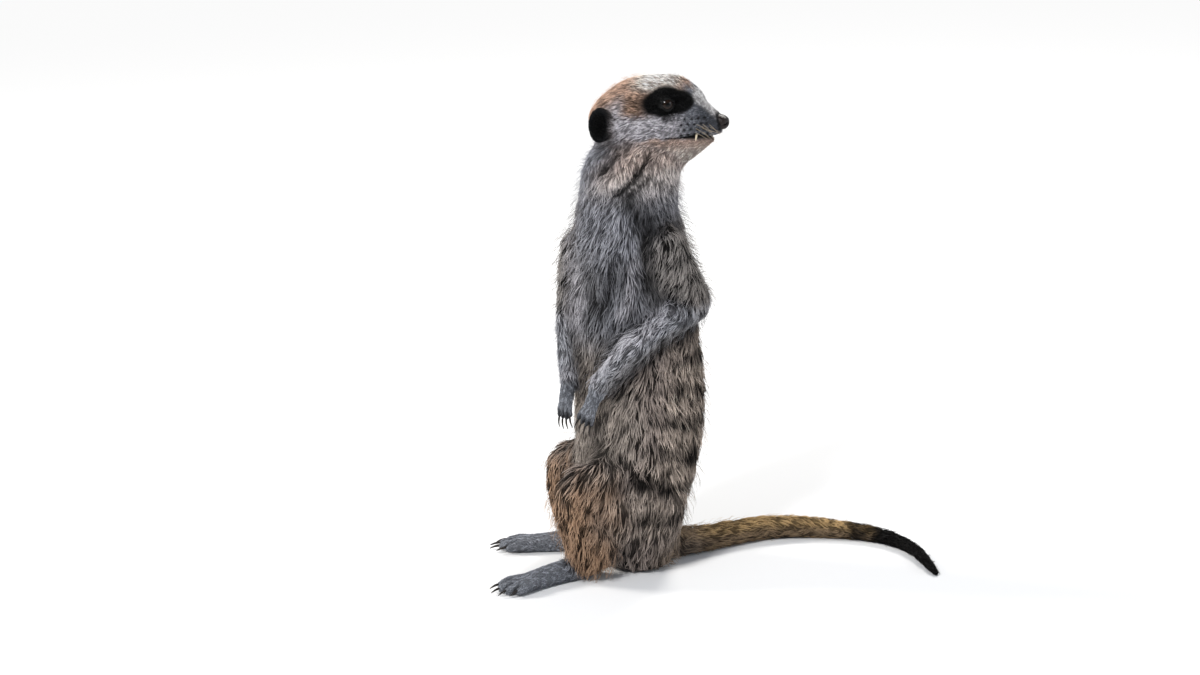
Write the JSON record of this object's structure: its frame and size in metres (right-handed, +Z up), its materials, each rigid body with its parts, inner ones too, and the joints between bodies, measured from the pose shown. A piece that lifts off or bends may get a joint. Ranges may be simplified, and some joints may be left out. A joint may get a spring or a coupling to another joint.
{
  "type": "meerkat model",
  "caption": "Life-size still model of a meerkat sitting upright on its haunches, arms hanging in front, head turned back over its left shoulder, tail curved along the ground.",
  "frame": {"origin": "on the ground, at the middle of the animal's outline seen from above", "axes": "+Z up; the hips and belly face -Y to within ten degrees; +X is the animal's left; the nose points towards +Y and +X"},
  "size_m": [0.149, 0.252, 0.2793],
  "materials": {
    "eye": "wet, very dark brown",
    "tooth": "ivory, smooth",
    "nose_leather": "dark brown, damp",
    "claw_horn": "dark horn, slightly glossy",
    "coat_black": "short black hair",
    "coat_pale": "short pale grey hair",
    "coat_paw": "very short pale grey hair",
    "coat_tan": "coarse yellow-brown hair",
    "coat_grizzled": "coarse grizzled grey-brown hair"
  },
  "bodies": {
    "root": {"eye_left": "eye", "canine_left": "tooth", "eye_right": "eye", "canine_right": "tooth", "nose": "nose_leather", "ear_left": "coat_black", "ear_right": "coat_black", "head": "coat_pale", "neck": "coat_pale", "hand_claw_left_1": "claw_horn", "hand_claw_left_2": "claw_horn", "hand_claw_left_3": "claw_horn", "hand_claw_left_4": "claw_horn", "hand_left": "coat_paw", "forearm_left": "coat_grizzled", "upper_arm_left": "coat_grizzled", "foot_claw_left_1": "claw_horn", "foot_claw_left_2": "claw_horn", "foot_claw_left_3": "claw_horn", "foot_claw_left_4": "claw_horn", "foot_left": "coat_paw", "shin_left": "coat_grizzled", "thigh_left": "coat_grizzled", "hand_claw_right_1": "claw_horn", "hand_claw_right_2": "claw_horn", "hand_claw_right_3": "claw_horn", "hand_claw_right_4": "claw_horn", "hand_right": "coat_paw", "forearm_right": "coat_grizzled", "upper_arm_right": "coat_grizzled", "foot_claw_right_1": "claw_horn", "foot_claw_right_2": "claw_horn", "foot_claw_right_3": "claw_horn", "foot_claw_right_4": "claw_horn", "foot_right": "coat_paw", "shin_right": "coat_grizzled", "thigh_right": "coat_grizzled", "tail_base": "coat_tan", "tail_middle": "coat_tan", "tail_tip": "coat_black", "trunk": "coat_grizzled"}
  },
  "joints": []
}
